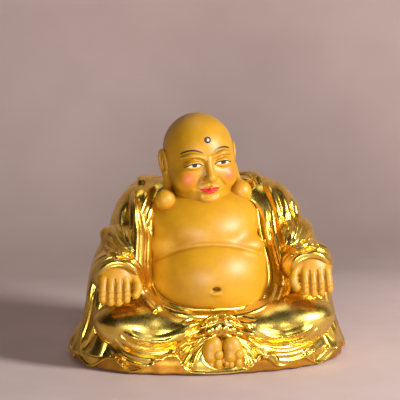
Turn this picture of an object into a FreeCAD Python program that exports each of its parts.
"""Seated monk figurine of cast resin.

The skin and the robe are cast separately, glued together with locating pins and
glued on a plinth. A soft plug closes the hole through which the ballast is poured.
"""

import FreeCAD
import Part
import os
from math import copysign, cos, pi, sin

from FreeCAD import Matrix, Rotation, Vector

# Driving dimensions in millimetres. The figure faces -Y, its left hand side is +X, and z = 0 is the table.
HEIGHT = 150.0
WIDTH = 166.0
DEPTH = 112.0
GLUE_GAP = 0.15  # clearance left between two castings for the glue

FELT_THICKNESS = 1.2
PLINTH_TOP = 8.0
ROBE_WALL = 5.0
ROBE_TOP = 112.0

CHEST_MIDDLE = -3.5  # the chest and belly sit a little to the figure's right
BELLY_MIDDLE = -2.0

SKULL_MIDDLE = (0, 2, 5.5)  # in the head's own axes
SKULL_RADII = (21.0, 23.5, 21.5)
HEAD_CENTRE = Vector(-4.5, -5.0, HEIGHT - SKULL_MIDDLE[2] - SKULL_RADII[2])
HEAD_WIDTH = 43.0
HEAD_TURN = 8.0  # degrees, about +Z
HEAD_LEAN = -5.0  # degrees, about +Y

HAND_CENTRES = {"right": Vector(-60.0, -38.5, 54.0), "left": Vector(58.0, -38.5, 57.0)}
SIDES = {"right": -1.0, "left": 1.0}

BORE_CENTRE = Vector(0, -6, 0)  # of the fill hole, the ballast and the torso's boss
FILL_HOLE_RADIUS = 11.0
PLUG_CLEARANCE = 0.05
BOSS_RADIUS = 26.0
BALLAST_RADIUS = 20.0
BALLAST_TOP = 30.0

PIN_RADIUS = 1.0
NECK_PIN_RADIUS = 1.5
PIN_CLEARANCE = 0.05

GEM_RADIUS = 1.55
GEM_HEIGHT = 1.1
GEM_SINK = 0.5
GEM_RISE = 15.0  # above the middle of the head

RING_POINTS = 32
POLE_LATITUDE = 85.0  # degrees
ACROSS = Vector(1, 0, 0)
AHEAD = Vector(0, 1, 0)
UP = Vector(0, 0, 1)


# Shapes that several sub-parts share.


def ellipsoid(centre, radii, grow=0.0, axis=UP, degrees=0.0):
    """A solid ellipsoid with tiny flats at its poles, turned about its own centre."""
    scale = Matrix()
    scale.scale(*[r + grow for r in radii])
    ball = Part.makeSphere(1.0, Vector(), UP, -POLE_LATITUDE, POLE_LATITUDE, 360).transformGeometry(scale)
    ball.rotate(Vector(), axis, degrees)
    ball.translate(Vector(*centre))
    return ball


def outline(z, half_width, front, back, centre_x=0.0, centre_y=0.0, power=2.3, grow=0.0):
    """A closed level curve whose front and back bulge by different amounts."""
    points = []
    for i in range(RING_POINTS):
        angle = 2 * pi * i / RING_POINTS
        across = copysign(abs(cos(angle)) ** (2 / power), cos(angle))
        along = copysign(abs(sin(angle)) ** (2 / power), sin(angle))
        reach = back if along > 0 else front
        points.append(Vector(centre_x + (half_width + grow) * across, centre_y + (reach + grow) * along, z))
    curve = Part.BSplineCurve()
    curve.interpolate(Points=points, PeriodicFlag=True)
    return Part.Wire(curve.toShape())


def lofted(sections, grow=0.0, **shape):
    """A solid through level outlines, each (z, half_width, front, back, centre_x, centre_y)."""
    wires = [outline(*section, grow=grow, **shape) for section in sections]
    return Part.makeLoft(wires, True, False)


def capsule(start, end, start_radius, end_radius, grow=0.0):
    """A straight tapering length with round ends, as in a finger."""
    r0, r1 = start_radius + grow, end_radius + grow
    length = (end - start).Length
    lean = (r0 - r1) / length
    rise = (1 - lean * lean) ** 0.5
    shoulder = Vector(r0 * rise, 0, r0 * lean)
    neck = Vector(r1 * rise, 0, length + r1 * lean)
    low_middle = Vector(r0 * sin(pi / 4), 0, -r0 * cos(pi / 4))
    high_middle = Vector(r1 * sin(pi / 4), 0, length + r1 * cos(pi / 4))
    edges = [
        Part.Arc(Vector(0, 0, -r0), low_middle, shoulder).toShape(),
        Part.LineSegment(shoulder, neck).toShape(),
        Part.Arc(neck, high_middle, Vector(0, 0, length + r1)).toShape(),
        Part.LineSegment(Vector(0, 0, length + r1), Vector(0, 0, -r0)).toShape(),
    ]
    solid = Part.Face(Part.Wire(edges)).revolve(Vector(), UP, 360)
    solid.Placement = FreeCAD.Placement(start, Rotation(UP, end - start))
    return solid


def swept_band(points, half_thickness, half_width):
    """An elliptical band that follows a smooth curve through the points."""
    path = Part.BSplineCurve()
    path.interpolate(points)
    edge = path.toShape()
    start = edge.valueAt(edge.FirstParameter)
    along = edge.tangentAt(edge.FirstParameter)
    profile = Part.Ellipse(Vector(), half_width, half_thickness).toShape()
    profile = Part.Wire(profile)
    profile.Placement = FreeCAD.Placement(start, Rotation(UP, along))
    pipe = Part.BRepOffsetAPI.MakePipeShell(Part.Wire(edge))
    pipe.setFrenetMode(False)
    pipe.add(profile)
    pipe.build()
    pipe.makeSolid()
    return pipe.shape()


def biggest(shape):
    """The largest solid of a cut, without the crumbs."""
    return max(shape.Solids, key=lambda solid: solid.Volume)


def joined(pieces):
    return pieces[0].fuse(pieces[1:])


# Envelopes: the outer forms, which also cut the seats that neighbours sit in.


def torso_form(grow=0.0):
    """Belly, chest with its two hanging folds, and the boss that stands on the plinth."""
    belly = ellipsoid((BELLY_MIDDLE, -6, 55), (41, 43.5, 34), grow)
    chest = ellipsoid((CHEST_MIDDLE, -3, 83), (41, 33, 21), grow)
    folds = [
        ellipsoid((CHEST_MIDDLE + side * 20, -14, 83.5), (18.5, 23.5, 15.5), grow, AHEAD, side * 12)
        for side in SIDES.values()
    ]
    foot = BORE_CENTRE + UP * (PLINTH_TOP - grow)
    boss = Part.makeCylinder(BOSS_RADIUS + grow, BALLAST_TOP - PLINTH_TOP + 4, foot, UP)
    return joined([belly, chest, boss] + folds)


def place_on_head(shape):
    """Moves a shape from the head's own axes to where the head is worn."""
    moved = shape.copy()
    moved.rotate(Vector(), AHEAD, HEAD_LEAN)
    moved.rotate(Vector(), UP, HEAD_TURN)
    moved.translate(HEAD_CENTRE)
    return moved


def head_form(grow=0.0):
    """The skull, the full cheeks, the nose and the chin."""
    skull = ellipsoid(SKULL_MIDDLE, SKULL_RADII, grow)
    cheeks = ellipsoid((0, -1, -9), (HEAD_WIDTH / 2, 22, 17.5), grow)
    nose = ellipsoid((0, -22.0, -2.5), (3.0, 3.4, 5.0), grow)
    chin = ellipsoid((0, -19.0, -19.5), (7.0, 4.5, 4.2), grow)
    return place_on_head(joined([skull, cheeks, nose, chin]))


def ear_form(side):
    """The shell of the ear and its long hanging lobe."""
    shell = ellipsoid((side * 22.0, 1.0, 0.0), (3.0, 5.2, 8.6), axis=AHEAD, degrees=side * 6)
    strap = capsule(Vector(side * 22.2, -0.5, -5.0), Vector(side * 23.6, -3.2, -13.5), 2.8, 2.5)
    lobe = ellipsoid((side * 25.0, -4.6, -18.6), (5.0, 4.6, 6.6))
    return place_on_head(joined([shell, strap, lobe]))


def robe_form(grow=0.0):
    """The robe's back and shoulders, narrowing to the collar."""
    return lofted(
        [
            (PLINTH_TOP, 75, 31, 48, 0, 2),
            (25, 70, 28, 44, 0, 2),
            (45, 64, 26, 41, 0, 2),
            (65, 60, 26, 38, 0, 2),
            (82, 56.5, 24, 35, 0, 2),
            (95, 49, 20, 31, -1, 2),
            (105, 38, 15, 26, -2, 3),
            (ROBE_TOP, 29, 10, 21, -3, 4),
        ],
        grow,
    )


def robe_hollow():
    """The robe's inside, open below and closed under the shoulders."""
    return lofted(
        [
            (PLINTH_TOP - 1, 75 - ROBE_WALL, 31 - ROBE_WALL, 48 - ROBE_WALL, 0, 2),
            (25, 70 - ROBE_WALL, 28 - ROBE_WALL, 44 - ROBE_WALL, 0, 2),
            (45, 64 - ROBE_WALL, 26 - ROBE_WALL, 41 - ROBE_WALL, 0, 2),
            (62, 46, 14, 30, 0, 2),
        ]
    )


def lap_form(grow=0.0):
    """Both folded legs and the cloth that falls from them to the plinth."""
    legs = [
        ellipsoid((side * 43, -31.5, 25.5), (30.5, 20.5, 15.5), grow, AHEAD, -side * 7)
        for side in SIDES.values()
    ]
    cloth = lofted([(PLINTH_TOP, 78, 50, 20), (15, 73, 49, 20), (24, 62, 45, 20)], grow)
    return joined([cloth] + legs)


def foot_form(side, grow=0.0):
    """Heel, ball and toes, with the big toes in the middle."""
    heel = ellipsoid((side * 6.2, -48.5, 17.5), (5.9, 5.0, 7.5), grow)
    ball = ellipsoid((side * 6.2, -49.5, PLINTH_TOP + 4.9), (5.6, 4.9, 4.6), grow)
    toes = []
    for step, radius in ((0.0, 1.9), (2.6, 1.4), (4.7, 1.25), (6.6, 1.1), (8.2, 1.0)):
        centre = (side * (2.9 + step), -51.6 + 0.12 * step, PLINTH_TOP + radius + 0.2)
        toes.append(ellipsoid(centre, (radius, radius, radius), grow))
    return joined([heel, ball] + toes)


def hand_form(name, grow=0.0):
    """Back of the hand, four fingers hanging over the knee, and the thumb on the inner side."""
    side = SIDES[name]
    centre = HAND_CENTRES[name]
    pieces = [ellipsoid(centre, (11.6, 7.0, 9.6), grow, ACROSS, -20)]
    for index, length in enumerate((12.2, 13.4, 12.8, 10.6)):
        across = side * (index - 1.5) * 5.2
        knuckle = centre + Vector(across, -3.6, -2.0)
        tip = centre + Vector(across * 1.04, -8.2, -1.0 - length)
        pieces.append(capsule(knuckle, tip, 2.75, 2.1, grow))
    root = centre + Vector(-side * 8.6, -2.0, 1.5)
    tip = centre + Vector(-side * 10.6, -8.2, -8.4)
    pieces.append(capsule(root, tip, 3.2, 2.3, grow))
    return joined(pieces)


def sleeve_form(name, grow=0.0):
    """The forearm in its wide sleeve, whose cloth hangs outside the knee down to the plinth."""
    side = SIDES[name]
    sections = [
        (PLINTH_TOP, 13, 28, 26, side * 68.5, -8),
        (22, 12, 25, 24, side * 64.5, -8),
        (40, 13, 22, 24, side * 60, -9),
        (56, 14, 19, 22, side * 56.5, -10),
        (70, 13, 14, 18, side * 54, -8),
        (80, 8, 8, 12, side * 52.5, -3),
    ]
    hanging = lofted(sections, grow, power=2.0)
    cuff_centre = HAND_CENTRES[name] + Vector(-side * 1.5, 8.0, 3.0)
    cuff = ellipsoid(cuff_centre, (15.5, 15.5, 13.0), grow, ACROSS, -15)
    return hanging.fuse(cuff)


def cuff_mouth(name):
    """The open end of the sleeve around the wrist."""
    return ellipsoid(HAND_CENTRES[name] + Vector(0, -3.5, -2.0), (13.6, 13.5, 11.8))


def pin(radius, ends, clearance=0.0):
    """A locating pin between two points, or its socket."""
    start, end = ends
    return Part.makeCylinder(radius + clearance, (end - start).Length, start, end - start)


def neck_pin_ends():
    return Vector(-3.5, -1.0, 88.0), Vector(-3.5, -1.0, 114.0)


def wrist_pin_ends(name):
    return HAND_CENTRES[name] + Vector(0, 0.5, 0), HAND_CENTRES[name] + Vector(0, 15.0, 4.0)


def ankle_pin_ends(side):
    return Vector(side * 6.2, -50.0, 17.0), Vector(side * 6.2, -38.0, 17.0)


def gem_seat():
    """The floor of the forehead seat and the way it faces, in the head's own axes."""
    rise = (GEM_RISE - SKULL_MIDDLE[2]) / SKULL_RADII[2]
    depth = -((1 - rise * rise) ** 0.5)
    skin = Vector(0, SKULL_MIDDLE[1] + depth * SKULL_RADII[1], GEM_RISE)
    out = Vector(0, depth / SKULL_RADII[1], rise / SKULL_RADII[2]).normalize()
    return skin - out * GEM_SINK, out


# Sub-parts, one function each.


def base_plinth():
    """The slab under the figure, with a rounded rim and the fill hole."""
    half_width, half_depth = WIDTH / 2, DEPTH / 2
    rim = ((FELT_THICKNESS, 2.6), (3.4, 0.0), (6.0, 0.6), (PLINTH_TOP, 3.0))
    slab = lofted([(z, half_width - inset, half_depth - inset, half_depth - inset) for z, inset in rim])
    return slab.cut(Part.makeCylinder(FILL_HOLE_RADIUS, PLINTH_TOP + 1, BORE_CENTRE, UP))


def felt_pad():
    """The felt under the plinth, with a window for the plug's flange."""
    margin = 7.0
    edge = outline(0, WIDTH / 2 - margin, DEPTH / 2 - margin, DEPTH / 2 - margin)
    sheet = Part.Face(edge).extrude(UP * (FELT_THICKNESS - PIN_CLEARANCE))
    return sheet.cut(Part.makeCylinder(FILL_HOLE_RADIUS + 4, FELT_THICKNESS, BORE_CENTRE, UP))


def base_plug():
    """The soft plug of the fill hole, with a flange and a bar across its finger recess."""
    flange_bottom = 0.4
    flange_thickness = 0.7
    recess_radius = 5.0
    recess_depth = 2.6
    stem_top = PLINTH_TOP - 0.6
    stem_radius = FILL_HOLE_RADIUS - PLUG_CLEARANCE
    floor = BORE_CENTRE + UP * flange_bottom
    stem = Part.makeCylinder(stem_radius, stem_top - flange_bottom, floor, UP)
    flange = Part.makeCylinder(FILL_HOLE_RADIUS + 2.5, flange_thickness, floor, UP)
    recess = Part.makeCylinder(recess_radius, recess_depth, floor, UP)
    bar = Part.makeBox(2, 2 * recess_radius + 1, 1.8, floor - Vector(1, recess_radius + 0.5, 0))
    return stem.fuse(flange).cut(recess).fuse(bar)


def ballast_fill():
    """The plaster poured into the torso's boss, which keeps the figure from tipping."""
    clearance = 0.1
    floor = BORE_CENTRE + UP * (PLINTH_TOP + clearance)
    return Part.makeCylinder(BALLAST_RADIUS - clearance, BALLAST_TOP - PLINTH_TOP - 2 * clearance, floor, UP)


def torso(forms):
    """Chest, belly and mounting boss, hollow inside and dished on top where the head sits."""
    bore = Part.makeCylinder(BALLAST_RADIUS, BALLAST_TOP, BORE_CENTRE + UP, UP)
    hollow = ellipsoid((BELLY_MIDDLE, -6, 56), (33, 34, 25))
    navel = ellipsoid((0, -49.5, 51.0), (3.4, 2.6, 1.7))
    socket = pin(NECK_PIN_RADIUS, neck_pin_ends(), PIN_CLEARANCE)
    return biggest(torso_form().cut([bore.fuse(hollow), forms["head"], navel, socket]))


def head():
    """The bald head with its forehead seat and neck socket."""
    seat = place_on_head(Part.makeCylinder(GEM_RADIUS + 0.1, 3, *gem_seat()))
    socket = pin(NECK_PIN_RADIUS, neck_pin_ends(), PIN_CLEARANCE)
    return biggest(head_form().cut([seat, socket]))


def ear(side, forms):
    return biggest(ear_form(side).cut([forms["head"], forms["torso"]]))


def forehead_gem():
    """A flat-backed faceted stone, set in the shallow seat of the forehead."""
    facets = 12
    table_share = 0.55
    girdle = Part.makePolygon(polygon_points(facets, GEM_RADIUS, 0.0))
    table = Part.makePolygon(polygon_points(facets, GEM_RADIUS * table_share, GEM_HEIGHT))
    stone = Part.makeLoft([girdle, table], True, True)
    floor, out = gem_seat()
    stone.Placement = FreeCAD.Placement(floor + out * PIN_CLEARANCE, Rotation(UP, out))
    return place_on_head(stone)


def polygon_points(sides, radius, z):
    angles = [2 * pi * i / sides for i in range(sides + 1)]
    return [Vector(radius * cos(angle), radius * sin(angle), z) for angle in angles]


def robe_shell(forms):
    """The robe's back, shoulders and upper sleeves, open at the chest and hollow below."""
    return biggest(robe_form().cut([forms["torso"], robe_hollow(), forms["head"], forms["ears"]]))


def lap_drape(forms):
    """The folded legs and the cloth over them, with seats for the feet and hands."""
    sockets = [pin(PIN_RADIUS, ankle_pin_ends(side), PIN_CLEARANCE) for side in SIDES.values()]
    neighbours = [forms[name] for name in ("robe", "torso", "hands", "foot_right", "foot_left")]
    return biggest(lap_form().cut(neighbours + sockets))


def sleeve(name, forms):
    """The forearm's sleeve, hollow at the cuff."""
    socket = pin(PIN_RADIUS, wrist_pin_ends(name), PIN_CLEARANCE)
    neighbours = [forms[other] for other in ("robe", "lap", "torso", "hands")]
    return biggest(sleeve_form(name).cut(neighbours + [cuff_mouth(name), socket]))


def hand(name):
    return biggest(hand_form(name).cut(pin(PIN_RADIUS, wrist_pin_ends(name), PIN_CLEARANCE)))


def foot(side):
    return biggest(foot_form(side).cut(pin(PIN_RADIUS, ankle_pin_ends(side), PIN_CLEARANCE)))


def lapel(side, forms):
    """The turned edge of the robe, from behind the neck down the chest and round the belly."""
    path = [
        Vector(CHEST_MIDDLE + side * 0.8, 22, ROBE_TOP),
        Vector(CHEST_MIDDLE + side * 17, 18, ROBE_TOP + 0.5),
        Vector(CHEST_MIDDLE + side * 27, 6, ROBE_TOP),
        Vector(CHEST_MIDDLE + side * 33.5, -7, 104),
        Vector(CHEST_MIDDLE + side * 36.5, -18, 92),
        Vector(CHEST_MIDDLE + side * 38.5, -24, 78),
        Vector(CHEST_MIDDLE + side * 39.5, -30, 62),
        Vector(BELLY_MIDDLE + side * 36, -37, 48),
        Vector(side * 26, -45, 37),
        Vector(side * 11, -50, 33),
    ]
    band = swept_band(path, 3.4, 3.4)
    neighbours = [forms[name] for name in ("torso", "robe", "lap", "head", "ears", "sleeves")]
    return biggest(band.cut(neighbours))


def waist_knot(forms):
    """The tie below the belly: a wrapped centre, two loops and two short ends."""
    centre = Vector(0, -51.5, 31)
    pieces = [ellipsoid(centre, (3.6, 3.2, 4.2))]
    for side in SIDES.values():
        loop = Part.makeTorus(3.6, 1.3)
        loop.rotate(Vector(), ACROSS, 90)
        loop.translate(centre + Vector(side * 6.6, 1.0, 0.6))
        pieces.append(loop)
        pieces.append(capsule(centre + Vector(side, 0, -2), centre + Vector(side * 3.4, 0.8, -7.5), 1.7, 1.4))
    neighbours = [forms[name] for name in ("lap", "torso", "foot_right", "foot_left", "lapels")]
    return biggest(joined(pieces).cut(neighbours))


def write_step(name, shape):
    """Writes one sub-part and prints its volume, with a warning if it isn't valid."""
    if not shape.isValid():
        print("NOT VALID:", name)
    shape.exportStep(os.path.join("parts", name + ".step"))
    print(f"{name:15s} solids {len(shape.Solids)} volume {shape.Volume / 1000:8.2f} cm3")


def grown_forms():
    """The envelopes with the glue gap added, used to cut clear of each neighbour."""
    return {
        "torso": torso_form(GLUE_GAP),
        "head": head_form(GLUE_GAP),
        "robe": robe_form(GLUE_GAP),
        "lap": lap_form(GLUE_GAP),
        "sleeves": joined([sleeve_form(name, GLUE_GAP) for name in SIDES]),
        "hands": joined([hand_form(name, GLUE_GAP) for name in SIDES]),
        "foot_right": foot_form(SIDES["right"], GLUE_GAP),
        "foot_left": foot_form(SIDES["left"], GLUE_GAP),
        "ears": joined([ear_form(side) for side in SIDES.values()]),
    }


def main():
    os.makedirs("parts", exist_ok=True)
    forms = grown_forms()
    nodes = {
        "base_plinth": base_plinth(),
        "felt_pad": felt_pad(),
        "base_plug": base_plug(),
        "ballast_fill": ballast_fill(),
        "torso": torso(forms),
        "head": head(),
        "forehead_gem": forehead_gem(),
        "robe_shell": robe_shell(forms),
        "lap_drape": lap_drape(forms),
        "neck_pin": pin(NECK_PIN_RADIUS, neck_pin_ends()),
        "wrist_pins": Part.makeCompound([pin(PIN_RADIUS, wrist_pin_ends(name)) for name in SIDES]),
        "ankle_pins": Part.makeCompound([pin(PIN_RADIUS, ankle_pin_ends(side)) for side in SIDES.values()]),
    }
    for name, side in SIDES.items():
        nodes["ear_" + name] = ear(side, forms)
        nodes["hand_" + name] = hand(name)
        nodes["foot_" + name] = foot(side)
        nodes["sleeve_" + name] = sleeve(name, forms)
        nodes["lapel_" + name] = lapel(side, forms)
    forms["lapels"] = nodes["lapel_right"].fuse(nodes["lapel_left"])
    nodes["waist_knot"] = waist_knot(forms)
    for name, shape in nodes.items():
        write_step(name, shape)


main()
